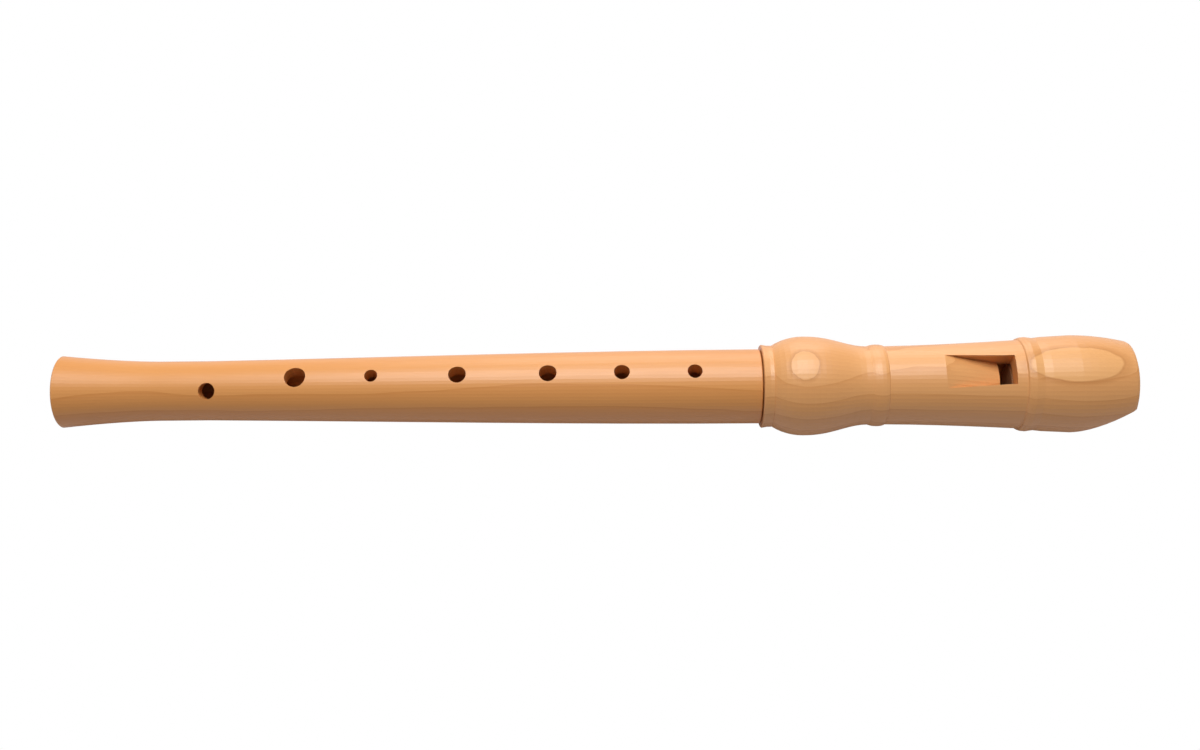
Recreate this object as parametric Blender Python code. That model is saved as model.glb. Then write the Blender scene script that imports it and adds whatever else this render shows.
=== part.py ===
"""Descant recorder of pale fruitwood in two joints, lying along X with its finger holes up.

Stations are distances in millimetres along the bore from the foot's end face, and radii are
measured from the bore's axis. The foot is at -X and the beak at +X. The origin lies under the
middle of the length, level with the lowest point of the bulb.
"""
import math

import bmesh
import bpy

MM = 0.001
SIDES = 64
HOLE_SIDES = 28
ACROSS = 8

# How far a cutter reaches past what it cuts
OVERCUT = 3.0

# Clearances between touching pieces
GAP = 0.3

# Lower body, foot and body turned in one
BODY_LENGTH = 212.9
FOOT_RADIUS = 10.97
FLARE_LENGTH = 29.6
FLARE_POWER = 1.6
WAIST_RADIUS = 9.05
WAIST_LENGTH = 15.4
SHOULDER_RADIUS = 11.33
EDGE_BREAK = 0.25
BORE_MOUTH_RADIUS = 5.3
BORE_FOOT_RADIUS = 4.5
BORE_TOP_RADIUS = 6.1
BORE_MOUTH_LENGTH = 20.0

# Tenon, its cork lapping and the socket that takes them
SOCKET_RADIUS = 9.0
TENON_CLEARANCE = 0.4
TENON_LENGTH = 20.4
TENON_COLLAR = 4.6
TENON_LIP = 3.8
CORK_THICKNESS = 0.9
SOCKET_END_CLEARANCE = 0.4

# Finger holes: place as a share of the body's length, diameter, degrees towards -Y
FINGER_HOLES = {
    "hole_7": (0.2170, 4.95, 25.8),
    "hole_6": (0.3410, 6.40, 0.0),
    "hole_5": (0.4486, 3.95, 0.0),
    "hole_4": (0.5702, 5.35, 0.0),
    "hole_3": (0.6980, 5.35, 0.0),
    "hole_2": (0.8023, 4.75, 0.0),
    "hole_1": (0.9051, 4.50, 0.0),
    "thumb_hole": (0.9460, 5.50, 180.0),
}

# Head joint
HEAD_LENGTH = 111.8
HEAD_TURN_DEG = 4.6
RIM_RADIUS = 12.70
COVE_RADIUS = 12.42
BULB_RADIUS = 15.11
BULB_CREST = 12.8
BULB_START = 3.3
BULB_END = 32.5
BULB_ARC = 17.5
NECK_RADIUS = 11.97
LOWER_BEAD_CREST = 35.3
LOWER_BEAD_HALF = 2.3
LOWER_BEAD_RADIUS = 12.51
NECK_TOP_RADIUS = 13.52
UPPER_BEAD_OFFSET = 5.5
UPPER_BEAD_HALF = 2.4
UPPER_BEAD_RADIUS = 14.43
GROOVE_RADIUS = 14.11
BARREL_RADIUS = 14.86
BARREL_BACK = 17.5
BEAK_RADIUS = 13.0
BEAK_ROUNDING = 1.1
HEAD_BORE_RADIUS = 7.1

# Windway, window and labium
WINDWAY_LENGTH = 36.75
WINDOW_LENGTH = 3.75
WINDOW_HALF_WIDTH = 4.65
RAMP_LENGTH = 16.4
RAMP_HALF_WIDTH = 5.3
LABIUM_HEIGHT = 7.6
LABIUM_SAG = 1.5
RAMP_START_SAG = 0.86
WINDWAY_HEIGHT = 0.9
WINDWAY_ENTRY_HALF = 5.0
WINDWAY_CHAMFER = 0.7
SEAT_END_RADIUS = 8.4
BLOCK_CHAMFER = 0.9

# Beak cut, a hollow arc under the mouth end
BEAK_CUT_LENGTH = 24.5
BEAK_TIP_HEIGHT = 6.7
BEAK_CUT_ARC = 60.0
BEAK_CROWN = 1.2
BEAK_CROWN_HALF = 11.0

# Places worked out from the sizes above
RIM = BODY_LENGTH + GAP
BEAK_END = RIM + HEAD_LENGTH
WINDOW_END = BEAK_END - WINDWAY_LENGTH
LABIUM = WINDOW_END - WINDOW_LENGTH
RAMP_START = LABIUM - RAMP_LENGTH
TENON_END = BODY_LENGTH + TENON_LENGTH
TENON_RADIUS = SOCKET_RADIUS - TENON_CLEARANCE
CORK_RADIUS = SOCKET_RADIUS - GAP
CORK_BORE = CORK_RADIUS - CORK_THICKNESS
CORK_GROOVE = CORK_BORE - GAP
SOCKET_END = TENON_END + GAP + SOCKET_END_CLEARANCE
AXIS_HEIGHT = BULB_RADIUS
BLOCK_FRONT = WINDOW_END + GAP


def clear_scene():
    """Remove whatever the scene holds."""
    for item in list(bpy.data.objects):
        bpy.data.objects.remove(item, do_unlink=True)


def wood(name, colour, roughness):
    """A Principled material with the piece's own colour."""
    material = bpy.data.materials.new(name)
    material.use_nodes = True
    shader = material.node_tree.nodes["Principled BSDF"]
    shader.inputs["Base Color"].default_value = (*colour, 1.0)
    shader.inputs["Roughness"].default_value = roughness
    shader.inputs["Metallic"].default_value = 0.0
    return material


def add_object(name, mesh, parent, station):
    """Place a mesh on the bore's axis at a station."""
    item = bpy.data.objects.new(name, mesh)
    bpy.context.collection.objects.link(item)
    item.parent = parent
    item.location = (station * MM, 0.0, 0.0)
    return item


def add_empty(name, parent, location, turn):
    """An empty on the bore's axis, turned about X."""
    empty = bpy.data.objects.new(name, None)
    bpy.context.collection.objects.link(empty)
    empty.parent = parent
    empty.location = location
    empty.rotation_euler = (turn, 0.0, 0.0)
    return empty


def turned(name, profile, parent, origin, material, closed):
    """Spin a profile of (station, radius) points about the bore's axis."""
    mesh = bpy.data.meshes.new(name)
    shape = bmesh.new()
    points = [shape.verts.new(((x - origin) * MM, 0.0, radius * MM)) for x, radius in profile]
    edges = [shape.edges.new(pair) for pair in zip(points, points[1:])]
    if closed:
        edges.append(shape.edges.new((points[-1], points[0])))
    bmesh.ops.spin(shape, geom=points + edges, cent=(0, 0, 0), axis=(1, 0, 0),
                   angle=2 * math.pi, steps=SIDES, use_merge=True)
    bmesh.ops.remove_doubles(shape, verts=shape.verts, dist=1e-6)
    bmesh.ops.recalc_face_normals(shape, faces=shape.faces)
    shape.to_mesh(mesh)
    shape.free()
    mesh.shade_smooth()
    mesh.set_sharp_from_angle(angle=math.radians(30))
    mesh.materials.append(material)
    return add_object(name, mesh, parent, origin)


def slab(name, stations, half_width, low, high, parent):
    """A closed cutter between two surfaces low(x, y) and high(x, y), as wide as half_width(x)."""
    mesh = bpy.data.meshes.new(name)
    shape = bmesh.new()
    rows = []
    for x in stations:
        sides = [half_width(x) * (2.0 * step / ACROSS - 1.0) for step in range(ACROSS + 1)]
        bottom = [shape.verts.new((x * MM, y * MM, low(x, y) * MM)) for y in sides]
        top = [shape.verts.new((x * MM, y * MM, high(x, y) * MM)) for y in reversed(sides)]
        rows.append(bottom + top)
    for first, second in zip(rows, rows[1:]):
        count = len(first)
        for index in range(count):
            following = (index + 1) % count
            shape.faces.new((first[index], first[following], second[following], second[index]))
    shape.faces.new(rows[0])
    shape.faces.new(rows[-1])
    bmesh.ops.recalc_face_normals(shape, faces=shape.faces)
    shape.to_mesh(mesh)
    shape.free()
    return as_cutter(add_object(name, mesh, parent, 0.0))


def as_cutter(item):
    """Keep a cutter out of the model."""
    item.hide_render = True
    item.display_type = "WIRE"
    return item


def cut(item, cutter):
    """Take the cutter's shape out of a piece."""
    modifier = item.modifiers.new(cutter.name, "BOOLEAN")
    modifier.operation = "DIFFERENCE"
    modifier.solver = "EXACT"
    modifier.object = cutter


def steps_between(first, last, count):
    """Evenly spaced stations from first to last."""
    return [first + (last - first) * step / count for step in range(count + 1)]


def body_radius(x):
    """Foot flare, straight waist, then a long swell up to the shoulder."""
    if x < FLARE_LENGTH:
        rise = (1.0 - x / FLARE_LENGTH) ** FLARE_POWER
        return WAIST_RADIUS + (FOOT_RADIUS - WAIST_RADIUS) * rise
    swell_start = FLARE_LENGTH + WAIST_LENGTH
    share = max(0.0, (x - swell_start) / (BODY_LENGTH - swell_start))
    return WAIST_RADIUS + (SHOULDER_RADIUS - WAIST_RADIUS) * (share + share ** 2 - share ** 3)


def body_profile():
    """Outside from foot to tenon end, then back down the tapered bore."""
    outside = [(0.0, FOOT_RADIUS - EDGE_BREAK)]
    outside += [(x, body_radius(x)) for x in steps_between(EDGE_BREAK, FLARE_LENGTH, 9)]
    swell_start = FLARE_LENGTH + WAIST_LENGTH
    outside += [(x, body_radius(x)) for x in steps_between(swell_start, BODY_LENGTH - EDGE_BREAK, 8)]
    outside.append((BODY_LENGTH, SHOULDER_RADIUS - EDGE_BREAK))
    groove_start = BODY_LENGTH + TENON_COLLAR
    groove_end = TENON_END - TENON_LIP
    outside += [(BODY_LENGTH, TENON_RADIUS), (groove_start, TENON_RADIUS),
                (groove_start, CORK_GROOVE), (groove_end, CORK_GROOVE),
                (groove_end, TENON_RADIUS), (TENON_END - EDGE_BREAK, TENON_RADIUS),
                (TENON_END, TENON_RADIUS - EDGE_BREAK)]
    bore = [(TENON_END, BORE_TOP_RADIUS), (BORE_MOUTH_LENGTH, BORE_FOOT_RADIUS),
            (0.0, BORE_MOUTH_RADIUS)]
    return outside + bore


def cork_profile():
    """A plain sleeve that fills the tenon's groove."""
    start = BODY_LENGTH + TENON_COLLAR + GAP
    end = TENON_END - TENON_LIP - GAP
    return [(start, CORK_RADIUS), (end, CORK_RADIUS), (end, CORK_BORE), (start, CORK_BORE)]


def bead(crest, half, base, radius):
    """A rounded ring: half an ellipse standing on the base radius."""
    points = []
    for step in range(1, 6):
        angle = math.pi * step / 6
        points.append((crest - half * math.cos(angle), base + (radius - base) * math.sin(angle)))
    return points


def bulb():
    """An arc up to the crest and a long soft fall to the neck."""
    crest = RIM + BULB_CREST
    points = []
    for x in steps_between(RIM + BULB_START, crest, 6):
        reach = crest - x
        drop = BULB_ARC - math.sqrt(BULB_ARC ** 2 - reach ** 2)
        points.append((x, BULB_RADIUS - drop))
    for x in steps_between(crest, RIM + BULB_END, 11)[1:]:
        share = ((x - crest) / (RIM + BULB_END - crest)) ** 1.2
        fall = (1.0 - math.cos(math.pi * share)) / 2
        points.append((x, BULB_RADIUS + (NECK_RADIUS - BULB_RADIUS) * fall))
    return points


def beak_outline():
    """The barrel swells to its widest ring, then falls in an arc to the rounded mouth end."""
    crest = BEAK_END - BARREL_BACK
    groove = WINDOW_END + UPPER_BEAD_OFFSET + UPPER_BEAD_HALF
    points = [(groove, GROOVE_RADIUS), (groove + 2.6, GROOVE_RADIUS + 0.3)]
    corner = BEAK_END - BEAK_ROUNDING
    for x in steps_between(crest, corner, 7):
        share = (x - crest) / (corner - crest)
        points.append((x, BARREL_RADIUS + (BEAK_RADIUS - BARREL_RADIUS) * share ** 2))
    points.append((BEAK_END - BEAK_ROUNDING * 0.3, BEAK_RADIUS - BEAK_ROUNDING * 0.35))
    points.append((BEAK_END, BEAK_RADIUS - BEAK_ROUNDING))
    return points


def head_profile():
    """Outside from the socket rim to the mouth end, then back through the seat, bore and socket."""
    outside = [(RIM, RIM_RADIUS - EDGE_BREAK), (RIM + EDGE_BREAK, RIM_RADIUS),
               (RIM + 1.9, COVE_RADIUS), (RIM + 3.1, COVE_RADIUS)]
    outside += bulb()
    outside += bead(RIM + LOWER_BEAD_CREST, LOWER_BEAD_HALF, NECK_RADIUS, LOWER_BEAD_RADIUS)
    neck_start = RIM + LOWER_BEAD_CREST + LOWER_BEAD_HALF
    bead_crest = WINDOW_END + UPPER_BEAD_OFFSET
    neck_end = bead_crest - UPPER_BEAD_HALF
    for x in steps_between(neck_start, neck_end, 5):
        share = (x - neck_start) / (neck_end - neck_start)
        outside.append((x, NECK_RADIUS + (NECK_TOP_RADIUS - NECK_RADIUS) * share ** 1.5))
    outside += bead(bead_crest, UPPER_BEAD_HALF, NECK_TOP_RADIUS, UPPER_BEAD_RADIUS)[:3]
    outside += beak_outline()
    inside = [(BEAK_END, SEAT_END_RADIUS), (WINDOW_END, HEAD_BORE_RADIUS),
              (SOCKET_END, HEAD_BORE_RADIUS), (SOCKET_END, SOCKET_RADIUS),
              (RIM + GAP, SOCKET_RADIUS), (RIM, SOCKET_RADIUS + GAP)]
    return outside + inside


def seat_radius(x):
    """The block's seat widens evenly from the window to the mouth end."""
    share = (x - WINDOW_END) / WINDWAY_LENGTH
    return HEAD_BORE_RADIUS + (SEAT_END_RADIUS - HEAD_BORE_RADIUS) * share


def block_profile():
    """A tapered plug, GAP smaller than its seat all round."""
    front = seat_radius(BLOCK_FRONT) - GAP
    behind = BLOCK_FRONT + BLOCK_CHAMFER
    return [(BLOCK_FRONT, 0.0), (BLOCK_FRONT, front - BLOCK_CHAMFER),
            (behind, seat_radius(behind) - GAP), (BEAK_END, SEAT_END_RADIUS - GAP), (BEAK_END, 0.0)]


def beak_cut_height(x, y):
    """Height of the hollow cut: an arc along the beak, crowned across it."""
    slope = math.radians(25.0)
    centre_x = BEAK_END + BEAK_CUT_ARC * math.sin(slope)
    centre_z = BEAK_TIP_HEIGHT - BEAK_CUT_ARC * math.cos(slope)
    reach = min(abs(x - centre_x), BEAK_CUT_ARC * 0.98)
    height = centre_z + math.sqrt(BEAK_CUT_ARC ** 2 - reach ** 2)
    return height - BEAK_CROWN * (1.0 - (y / BEAK_CROWN_HALF) ** 2)


def ramp_height(x, y):
    """The ramp falls evenly to the labium's edge and is arched across."""
    share = (x - RAMP_START) / RAMP_LENGTH
    start = NECK_RADIUS + 0.25
    sag = RAMP_START_SAG + (LABIUM_SAG - RAMP_START_SAG) * share
    return start + (LABIUM_HEIGHT - start) * share - sag * (y / WINDOW_HALF_WIDTH) ** 2


def windway_roof(x, y):
    """The roof runs level with the seat, WINDWAY_HEIGHT above it, and flares at both mouths."""
    edge = min(x - WINDOW_END, BEAK_END - x)
    flare = max(0.0, WINDWAY_CHAMFER - max(0.0, edge))
    return math.sqrt((seat_radius(x) + WINDWAY_HEIGHT) ** 2 - y ** 2) + flare


def make_cutters(window_line):
    """Window, ramp, windway and beak cut, all turned with the head's own line."""
    over = BULB_RADIUS + OVERCUT
    deep = HEAD_BORE_RADIUS * 0.3
    window = slab("cut_window", [LABIUM, WINDOW_END], lambda x: WINDOW_HALF_WIDTH,
                  lambda x, y: deep, lambda x, y: over, window_line)
    spread = RAMP_HALF_WIDTH - WINDOW_HALF_WIDTH
    ramp = slab("cut_ramp", [RAMP_START - OVERCUT, RAMP_START, LABIUM + GAP],
                lambda x: WINDOW_HALF_WIDTH + spread * min(1.0, max(0.0, (LABIUM - x) / RAMP_LENGTH)),
                ramp_height, lambda x, y: over, window_line)
    stations = [WINDOW_END - GAP, WINDOW_END + WINDWAY_CHAMFER, BEAK_END - WINDWAY_CHAMFER,
                BEAK_END + GAP]
    spread_in = (WINDWAY_ENTRY_HALF - WINDOW_HALF_WIDTH) / WINDWAY_LENGTH
    windway = slab("cut_windway", stations,
                   lambda x: WINDOW_HALF_WIDTH + spread_in * (x - WINDOW_END),
                   lambda x, y: deep, windway_roof, window_line)
    beak = slab("cut_beak", steps_between(BEAK_END - BEAK_CUT_LENGTH - OVERCUT, BEAK_END + GAP, 14),
                lambda x: over, lambda x, y: -over * 2.0, beak_cut_height, window_line)
    return [window, ramp, windway, beak]


def drill(name, station, diameter, lean, parent):
    """A radial drill from the bore's axis out through the wall."""
    length = body_radius(station) + OVERCUT
    bpy.ops.mesh.primitive_cylinder_add(vertices=HOLE_SIDES, radius=diameter / 2 * MM,
                                        depth=length * MM)
    drill_body = bpy.context.active_object
    drill_body.name = "cut_" + name
    for vertex in drill_body.data.vertices:
        vertex.co.z += length / 2 * MM
    drill_body.parent = parent
    drill_body.location = (station * MM, 0.0, 0.0)
    drill_body.rotation_euler = (math.radians(lean), 0.0, 0.0)
    return as_cutter(drill_body)


def main():
    clear_scene()
    body_wood = wood("body_wood", (0.72, 0.38, 0.16), 0.35)
    head_wood = wood("head_wood", (0.76, 0.43, 0.20), 0.35)
    block_wood = wood("block_wood", (0.48, 0.22, 0.10), 0.6)
    cork = wood("cork", (0.50, 0.30, 0.15), 0.9)

    axis = add_empty("bore_axis", None, (-BEAK_END / 2 * MM, 0.0, AXIS_HEIGHT * MM), 0.0)
    window_line = add_empty("window_line", axis, (0.0, 0.0, 0.0), math.radians(HEAD_TURN_DEG))

    lower_body = turned("lower_body", body_profile(), axis, 0.0, body_wood, True)
    for name, (share, diameter, lean) in FINGER_HOLES.items():
        cut(lower_body, drill(name, share * BODY_LENGTH, diameter, lean, axis))

    turned("cork_sleeve", cork_profile(), axis, BODY_LENGTH, cork, True)

    window, ramp, windway, beak = make_cutters(window_line)
    head_joint = turned("head_joint", head_profile(), axis, RIM, head_wood, True)
    for cutter in (window, ramp, windway, beak):
        cut(head_joint, cutter)

    block = turned("block", block_profile(), axis, WINDOW_END, block_wood, False)
    cut(block, beak)


main()
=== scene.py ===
"""Looks of the descant recorder: lacquered fruitwood body and head, cedar block and cork.

The floor, lamps and camera show it on plain white, from the photograph's own view.
"""
import math

import bpy
from mathutils import Matrix, Vector


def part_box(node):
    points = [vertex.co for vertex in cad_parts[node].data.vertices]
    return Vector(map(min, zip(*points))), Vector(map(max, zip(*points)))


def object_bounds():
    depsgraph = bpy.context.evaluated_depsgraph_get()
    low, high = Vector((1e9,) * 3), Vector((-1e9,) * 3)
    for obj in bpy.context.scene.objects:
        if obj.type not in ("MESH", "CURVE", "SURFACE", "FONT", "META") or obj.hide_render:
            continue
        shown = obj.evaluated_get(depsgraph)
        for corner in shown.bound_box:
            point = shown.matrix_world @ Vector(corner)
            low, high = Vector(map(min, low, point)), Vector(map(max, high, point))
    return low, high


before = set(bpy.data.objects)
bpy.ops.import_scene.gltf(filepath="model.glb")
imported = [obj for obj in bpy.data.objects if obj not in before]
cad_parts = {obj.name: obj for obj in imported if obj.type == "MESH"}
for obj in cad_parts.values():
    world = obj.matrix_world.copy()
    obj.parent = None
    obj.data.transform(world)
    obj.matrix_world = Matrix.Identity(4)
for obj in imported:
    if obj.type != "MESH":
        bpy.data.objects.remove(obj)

CAD_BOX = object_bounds()
LOWEST = CAD_BOX[0][2]
BORE_Y = (CAD_BOX[0][1] + CAD_BOX[1][1]) / 2
BORE_Z = (CAD_BOX[0][2] + CAD_BOX[1][2]) / 2

# The view: the camera looks square at the bore, and the finger holes lean to the image's top
FOCAL_PIXELS = 1400.0
IMAGE_WIDTH = 1200.0
SENSOR_MM = 36.0
CAMERA_DISTANCE = 0.4285
CAMERA_STATION = 0.16425
HOLE_LEAN_DEG = 25.8
IMAGE_ROLL_DEG = 0.47
AXIS_BELOW_CENTRE = 0.00386
NEAREST_SEEN = 0.01

# Growth rings: the tree's pith runs beside and below the bore, and the rings hardly change along it
PITH_OFFSET = (0.0, 0.045, 0.10)
RING_STRETCH = (0.05, 1.0, 1.0)
RING_WANDER = 1.6
DRIFT_WAVES = (9.0, 60.0, 60.0)
DRIFT_DETAIL = 3.0

# How dark one ring is, from its early wood at 0 to its late wood at 1
RING_TONES = ((0.0, 0.25), (0.88, 0.62), (1.0, 1.0))

# Pores: fine streaks along the bore, which darken the wood and roughen it
PORE_WAVES = (60.0, 2600.0, 2600.0)
PORE_DETAIL = 4.0
PORE_DARKNESS = 0.45
SMOOTH_ROUGHNESS = 0.30
PORE_ROUGHNESS = 0.46
PORE_DEPTH = 0.0001

# Each wood: its colours, rings a metre, contrast between the colours, lacquer and relief of the pores
BODY_WOOD = {"light": (0.82, 0.375, 0.115), "dark": (0.56, 0.19, 0.035), "rings": 170.0,
             "contrast": 0.50, "coat": 0.18, "relief": 0.10}
HEAD_WOOD = {"light": (0.85, 0.43, 0.165), "dark": (0.60, 0.235, 0.06), "rings": 210.0,
             "contrast": 0.50, "coat": 0.18, "relief": 0.10}
BLOCK_WOOD = {"light": (0.62, 0.34, 0.17), "dark": (0.36, 0.15, 0.06), "rings": 700.0,
              "contrast": 0.7, "coat": 0.0, "relief": 0.3}
LACQUER_ROUGHNESS = 0.28

# Pale ovals in the head's figure: place from the rim or the mouth end, depth under the bulb's top,
# half-lengths along X, Y and Z, and the tint over the wood
BULB_EYE_FROM_RIM = 0.0121
BULB_EYE_DEPTH = 0.00072
BULB_EYE_REACH = (0.0042, 0.0047, 0.0080)
BULB_EYE_TINT = (1.08, 1.14, 1.22)
BEAK_EYE_FROM_MOUTH = 0.0185
BEAK_EYE_DEPTH = 0.00102
BEAK_EYE_REACH = (0.0140, 0.0056, 0.0090)
BEAK_EYE_TINT = (1.06, 1.12, 1.16)

# From an oval's middle outwards, in half-lengths: the tint's end, the line round it, and plain wood again
EYE_EDGE = 1.09
EYE_RIM = ((1.15, (0.80, 0.74, 0.66)), (1.20, (0.90, 0.86, 0.80)),
           (1.24, (0.90, 0.86, 0.80)), (1.40, (1.0, 1.0, 1.0)))
EYE_RAMP_END = 2.0
EYE_RIPPLE = 0.25
RIPPLE_WAVES = 1.4
RIPPLE_DETAIL = 2.0

# Cork: granules a metre, the granule's colour and the gap's, and the relief between them
GRANULES = 900.0
GRANULE_COLOUR = (0.62, 0.38, 0.19)
GAP_COLOUR = (0.26, 0.13, 0.05)
CORK_RELIEF = 0.4
CORK_DEPTH = 0.0002
CORK_ROUGHNESS = 0.9

# The floor: half its width, its drop below the part, and the matt colour that it throws on the part
FLOOR_HALF = 6.0
FLOOR_DROP = 0.0002
FLOOR_COLOUR = (0.62, 0.60, 0.66)
FLOOR_ROUGHNESS = 0.9

# Lamps as place, size in metres and power in watts, and the world's strength on the part and to the camera
LAMP_AIM = (0.0, 0.0, 0.0)
LAMPS = {"key": ((0.0, 0.35, 0.95), 0.7, 9.6),
         "fill": ((0.1, 0.9, 0.3), 0.6, 3.0)}
WORLD_ON_PART = 0.22
WORLD_TO_CAMERA = 1.0
WHITE = (1.0, 1.0, 1.0)


def opaque(colour):
    """A colour with an alpha of 1."""
    return (*colour, 1.0)


def feed(tree, socket, value):
    """Link the input to a socket, or set it to a plain value."""
    if isinstance(value, bpy.types.NodeSocket):
        tree.links.new(value, socket)
    else:
        socket.default_value = value


def math_node(tree, operation, *values, clamp=False):
    """The result of one Math node, whose inputs are sockets or numbers."""
    node = tree.nodes.new("ShaderNodeMath")
    node.operation = operation
    node.use_clamp = clamp
    for socket, value in zip(node.inputs, values):
        feed(tree, socket, value)
    return node.outputs["Value"]


def ranged(tree, share, least, most):
    """A share from 0 to 1, turned into a value from least to most."""
    node = tree.nodes.new("ShaderNodeMapRange")
    node.inputs["To Min"].default_value = least
    node.inputs["To Max"].default_value = most
    tree.links.new(share, node.inputs["Value"])
    return node.outputs["Result"]


def length_of(tree, vector):
    """A vector's length."""
    node = tree.nodes.new("ShaderNodeVectorMath")
    node.operation = "LENGTH"
    tree.links.new(vector, node.inputs[0])
    return node.outputs["Value"]


def object_place(tree):
    """The point's place in the frame, in metres."""
    return tree.nodes.new("ShaderNodeTexCoord").outputs["Object"]


def mapped(tree, place, scale, location=(0.0, 0.0, 0.0), kind="POINT"):
    """A place times the scale plus the location, or for TEXTURE less the location and over the scale."""
    node = tree.nodes.new("ShaderNodeMapping")
    node.vector_type = kind
    node.inputs["Location"].default_value = location
    node.inputs["Scale"].default_value = scale
    tree.links.new(place, node.inputs["Vector"])
    return node.outputs["Vector"]


def noise(tree, place, detail, waves=1.0):
    """Noise from 0 to 1, with so many waves to each unit of the place."""
    node = tree.nodes.new("ShaderNodeTexNoise")
    node.inputs["Scale"].default_value = waves
    node.inputs["Detail"].default_value = detail
    tree.links.new(place, node.inputs["Vector"])
    return node.outputs["Fac"]


def tone_ramp(tree, position, stops):
    """The colour at a position between (position, colour) stops, which are given in rising order."""
    node = tree.nodes.new("ShaderNodeValToRGB")
    elements = node.color_ramp.elements
    elements[0].position = stops[0][0]
    elements[1].position = stops[-1][0]
    for at, _ in stops[1:-1]:
        elements.new(at)
    for element, (_, colour) in zip(elements, stops):
        element.color = opaque(colour)
    tree.links.new(position, node.inputs["Fac"])
    return node.outputs["Color"]


def mixed(tree, blend, amount, first, second):
    """Two colours, mixed or multiplied by an amount from 0 to 1."""
    node = tree.nodes.new("ShaderNodeMix")
    node.data_type = "RGBA"
    node.blend_type = blend
    feed(tree, node.inputs["Factor"], amount)
    tree.links.new(first, node.inputs["A"])
    tree.links.new(second, node.inputs["B"])
    return node.outputs["Result"]


def relief(tree, height, strength, depth):
    """The normal of a surface whose height varies by the depth, in metres."""
    node = tree.nodes.new("ShaderNodeBump")
    node.inputs["Strength"].default_value = strength
    node.inputs["Distance"].default_value = depth
    tree.links.new(height, node.inputs["Height"])
    return node.outputs["Normal"]


def node_group(name, inputs, outputs):
    """An empty shader node group with named sockets."""
    group = bpy.data.node_groups.new(name, "ShaderNodeTree")
    for label, kind in inputs:
        group.interface.new_socket(label, in_out="INPUT", socket_type=kind)
    for label, kind in outputs:
        group.interface.new_socket(label, in_out="OUTPUT", socket_type=kind)
    return group, group.nodes.new("NodeGroupInput"), group.nodes.new("NodeGroupOutput")


def wood_figure():
    """Growth rings and fine pores along the bore, as a colour, a roughness and a height.

    A point's ring number is its distance from the pith times the rings a metre, plus a slow wander.
    The number's fraction gives the ring's tone, and the pores darken that. Times the contrast, the sum
    is the share of the dark colour in the light one. The pores alone give the roughness and the height.
    """
    group, given, out = node_group(
        "turned_wood_figure",
        inputs=[("Light", "NodeSocketColor"), ("Dark", "NodeSocketColor"),
                ("Rings Per Metre", "NodeSocketFloat"), ("Contrast", "NodeSocketFloat")],
        outputs=[("Color", "NodeSocketColor"), ("Roughness", "NodeSocketFloat"),
                 ("Height", "NodeSocketFloat")])
    place = object_place(group)
    drift = noise(group, mapped(group, place, DRIFT_WAVES), DRIFT_DETAIL)
    from_pith = length_of(group, mapped(group, place, RING_STRETCH, PITH_OFFSET))
    rings = math_node(group, "MULTIPLY", from_pith, given.outputs["Rings Per Metre"])
    ring_number = math_node(group, "MULTIPLY_ADD", drift, RING_WANDER, rings)
    through_ring = math_node(group, "FRACT", ring_number)
    tone = tone_ramp(group, through_ring, [(at, (grey, grey, grey)) for at, grey in RING_TONES])

    pores = noise(group, mapped(group, place, PORE_WAVES), PORE_DETAIL)
    darkness = math_node(group, "MULTIPLY_ADD", pores, PORE_DARKNESS, tone)
    dark_share = math_node(group, "MULTIPLY", darkness, given.outputs["Contrast"], clamp=True)
    colour = mixed(group, "MIX", dark_share, given.outputs["Light"], given.outputs["Dark"])
    group.links.new(colour, out.inputs["Color"])
    group.links.new(ranged(group, pores, SMOOTH_ROUGHNESS, PORE_ROUGHNESS), out.inputs["Roughness"])
    group.links.new(pores, out.inputs["Height"])
    return group


def pale_eye(tree, colour, centre, reach, tint):
    """An oval where the turning cut through one growth ring: tinted inside, with a darker line round it.

    The distance from the centre, in half-lengths of the oval, plus a little noise picks the tone by
    which the wood's colour is multiplied.
    """
    across = mapped(tree, object_place(tree), reach, centre, kind="TEXTURE")
    ripple = noise(tree, across, RIPPLE_DETAIL, RIPPLE_WAVES)
    distance = math_node(tree, "MULTIPLY_ADD", ripple, EYE_RIPPLE, length_of(tree, across))
    position = math_node(tree, "MULTIPLY", distance, 1.0 / EYE_RAMP_END)
    stops = [(0.0, tint), (EYE_EDGE, tint), *EYE_RIM]
    tone = tone_ramp(tree, position, [(at / EYE_RAMP_END, shade) for at, shade in stops])
    return mixed(tree, "MULTIPLY", 1.0, colour, tone)


def head_eyes():
    """The ovals on the bulb and on the beak, as centre, reach and tint."""
    low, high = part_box("head_joint")
    bulb = (low.x + BULB_EYE_FROM_RIM, BORE_Y, high.z - BULB_EYE_DEPTH)
    beak = (high.x - BEAK_EYE_FROM_MOUTH, BORE_Y, high.z - BEAK_EYE_DEPTH)
    return ((bulb, BULB_EYE_REACH, BULB_EYE_TINT), (beak, BEAK_EYE_REACH, BEAK_EYE_TINT))


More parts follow.
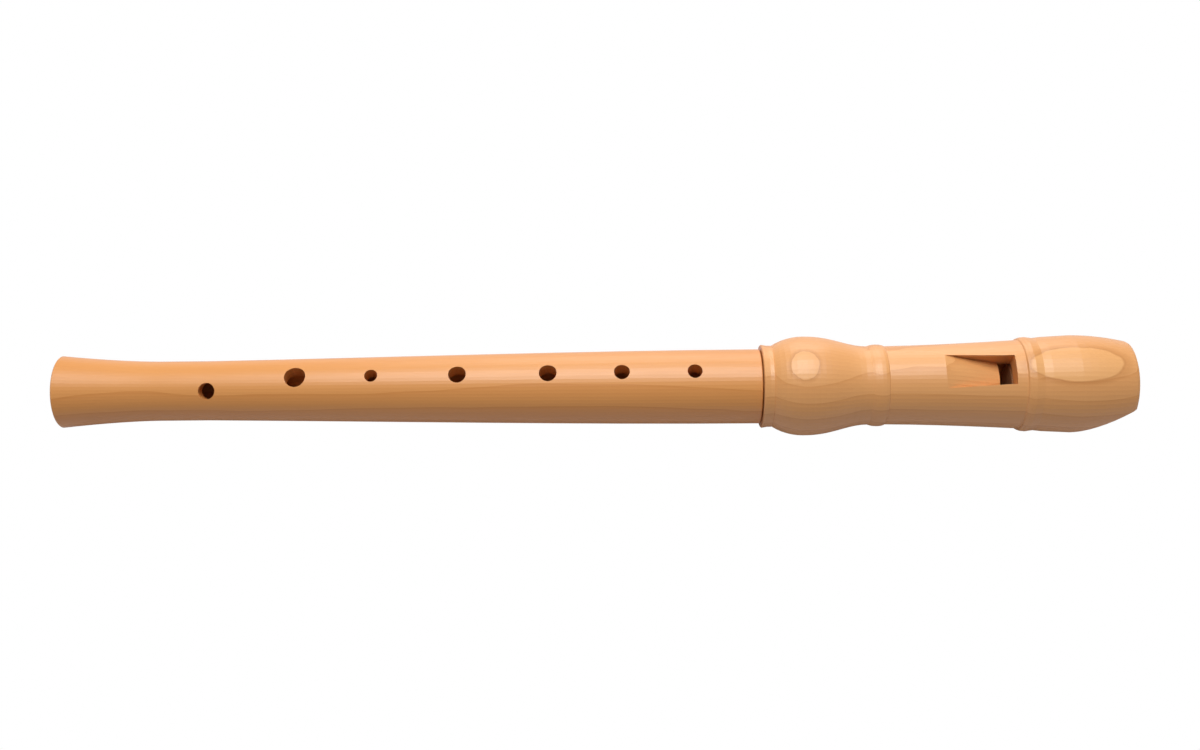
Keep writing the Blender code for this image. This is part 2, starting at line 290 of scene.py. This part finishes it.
def wood_material(name, figure, wood, eyes=()):
    """A wood whose colour, roughness and relief come from the figure, with any pale ovals over it."""
    material = bpy.data.materials.new(name)
    material.use_nodes = True
    tree = material.node_tree
    shader = tree.nodes["Principled BSDF"]
    grain = tree.nodes.new("ShaderNodeGroup")
    grain.node_tree = figure
    grain.inputs["Light"].default_value = opaque(wood["light"])
    grain.inputs["Dark"].default_value = opaque(wood["dark"])
    grain.inputs["Rings Per Metre"].default_value = wood["rings"]
    grain.inputs["Contrast"].default_value = wood["contrast"]
    colour = grain.outputs["Color"]
    for centre, reach, tint in eyes:
        colour = pale_eye(tree, colour, centre, reach, tint)
    tree.links.new(colour, shader.inputs["Base Color"])
    tree.links.new(grain.outputs["Roughness"], shader.inputs["Roughness"])
    normal = relief(tree, grain.outputs["Height"], wood["relief"], PORE_DEPTH)
    tree.links.new(normal, shader.inputs["Normal"])
    shader.inputs["Coat Weight"].default_value = wood["coat"]
    shader.inputs["Coat Roughness"].default_value = LACQUER_ROUGHNESS
    return material


def cork_material():
    """Pressed cork: cells whose distance from their centre takes the granule's colour to the gap's."""
    material = bpy.data.materials.new("pressed_cork")
    material.use_nodes = True
    tree = material.node_tree
    shader = tree.nodes["Principled BSDF"]
    cells = tree.nodes.new("ShaderNodeTexVoronoi")
    cells.inputs["Scale"].default_value = GRANULES
    tree.links.new(object_place(tree), cells.inputs["Vector"])
    from_centre = cells.outputs["Distance"]
    colour = tone_ramp(tree, from_centre, [(0.0, GRANULE_COLOUR), (1.0, GAP_COLOUR)])
    tree.links.new(colour, shader.inputs["Base Color"])
    tree.links.new(relief(tree, from_centre, CORK_RELIEF, CORK_DEPTH), shader.inputs["Normal"])
    shader.inputs["Roughness"].default_value = CORK_ROUGHNESS
    return material


def paint(node, material):
    """Give a CAD node its finish."""
    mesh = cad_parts[node].data
    mesh.materials.clear()
    mesh.materials.append(material)


def dress():
    """Each node's own finish."""
    figure = wood_figure()
    paint("lower_body", wood_material("body_fruitwood", figure, BODY_WOOD))
    paint("head_joint", wood_material("head_fruitwood", figure, HEAD_WOOD, head_eyes()))
    paint("block", wood_material("cedar_block", figure, BLOCK_WOOD))
    paint("cork_sleeve", cork_material())


def floor_material():
    """White to the camera, and a pale matt surface to all other light."""
    material = bpy.data.materials.new("floor_white")
    material.use_nodes = True
    tree = material.node_tree
    shader = tree.nodes["Principled BSDF"]
    shader.inputs["Base Color"].default_value = opaque(FLOOR_COLOUR)
    shader.inputs["Roughness"].default_value = FLOOR_ROUGHNESS
    path = tree.nodes.new("ShaderNodeLightPath")
    glow = tree.nodes.new("ShaderNodeEmission")
    glow.inputs["Color"].default_value = opaque(WHITE)
    mix = tree.nodes.new("ShaderNodeMixShader")
    tree.links.new(path.outputs["Is Camera Ray"], mix.inputs["Fac"])
    tree.links.new(shader.outputs["BSDF"], mix.inputs[1])
    tree.links.new(glow.outputs["Emission"], mix.inputs[2])
    tree.links.new(mix.outputs["Shader"], tree.nodes["Material Output"].inputs["Surface"])
    return material


def backdrop():
    """A square floor just below the part."""
    height = LOWEST - FLOOR_DROP
    sides = [(-1, -1), (1, -1), (1, 1), (-1, 1)]
    mesh = bpy.data.meshes.new("floor")
    mesh.from_pydata([(x * FLOOR_HALF, y * FLOOR_HALF, height) for x, y in sides], [], [(0, 1, 2, 3)])
    mesh.materials.append(floor_material())
    floor = bpy.data.objects.new("floor", mesh)
    bpy.context.scene.collection.objects.link(floor)


def lamp(name, place, size, power):
    """A square soft lamp, turned to the frame's origin."""
    data = bpy.data.lights.new(name, "AREA")
    data.shape = "SQUARE"
    data.size = size
    data.energy = power
    item = bpy.data.objects.new(name, data)
    item.location = place
    item.rotation_euler = (Vector(LAMP_AIM) - Vector(place)).to_track_quat("-Z", "Y").to_euler()
    bpy.context.scene.collection.objects.link(item)


def light():
    """A soft key from the image's top, a weak fill, and an even world that the camera sees as white."""
    for name, (place, size, power) in LAMPS.items():
        lamp(name, place, size, power)
    world = bpy.data.worlds.new("studio")
    world.use_nodes = True
    tree = world.node_tree
    background = tree.nodes["Background"]
    background.inputs["Color"].default_value = opaque(WHITE)
    path = tree.nodes.new("ShaderNodeLightPath")
    strength = ranged(tree, path.outputs["Is Camera Ray"], WORLD_ON_PART, WORLD_TO_CAMERA)
    tree.links.new(strength, background.inputs["Strength"])
    bpy.context.scene.world = world
    bpy.context.scene.view_settings.view_transform = "Standard"


def camera():
    """The photograph's camera: square to the bore, moved a little to the image's top, rolled slightly."""
    lean = math.radians(HOLE_LEAN_DEG)
    right = Vector((1.0, 0.0, 0.0))
    upwards = Vector((0.0, math.cos(lean), math.sin(lean)))
    towards = Vector((0.0, -math.sin(lean), math.cos(lean)))
    axis_point = Vector((CAD_BOX[0][0] + CAMERA_STATION, BORE_Y, BORE_Z))
    eye = axis_point + towards * CAMERA_DISTANCE + upwards * AXIS_BELOW_CENTRE
    square_on = Matrix((right, upwards, towards)).transposed()
    turn = square_on @ Matrix.Rotation(math.radians(-IMAGE_ROLL_DEG), 3, "Z")
    data = bpy.data.cameras.new("camera")
    data.sensor_width = SENSOR_MM
    data.lens = FOCAL_PIXELS / IMAGE_WIDTH * SENSOR_MM
    data.clip_start = NEAREST_SEEN
    item = bpy.data.objects.new("camera", data)
    item.matrix_world = Matrix.Translation(eye) @ turn.to_4x4()
    bpy.context.scene.collection.objects.link(item)
    bpy.context.scene.camera = item


dress()
backdrop()
light()
camera()
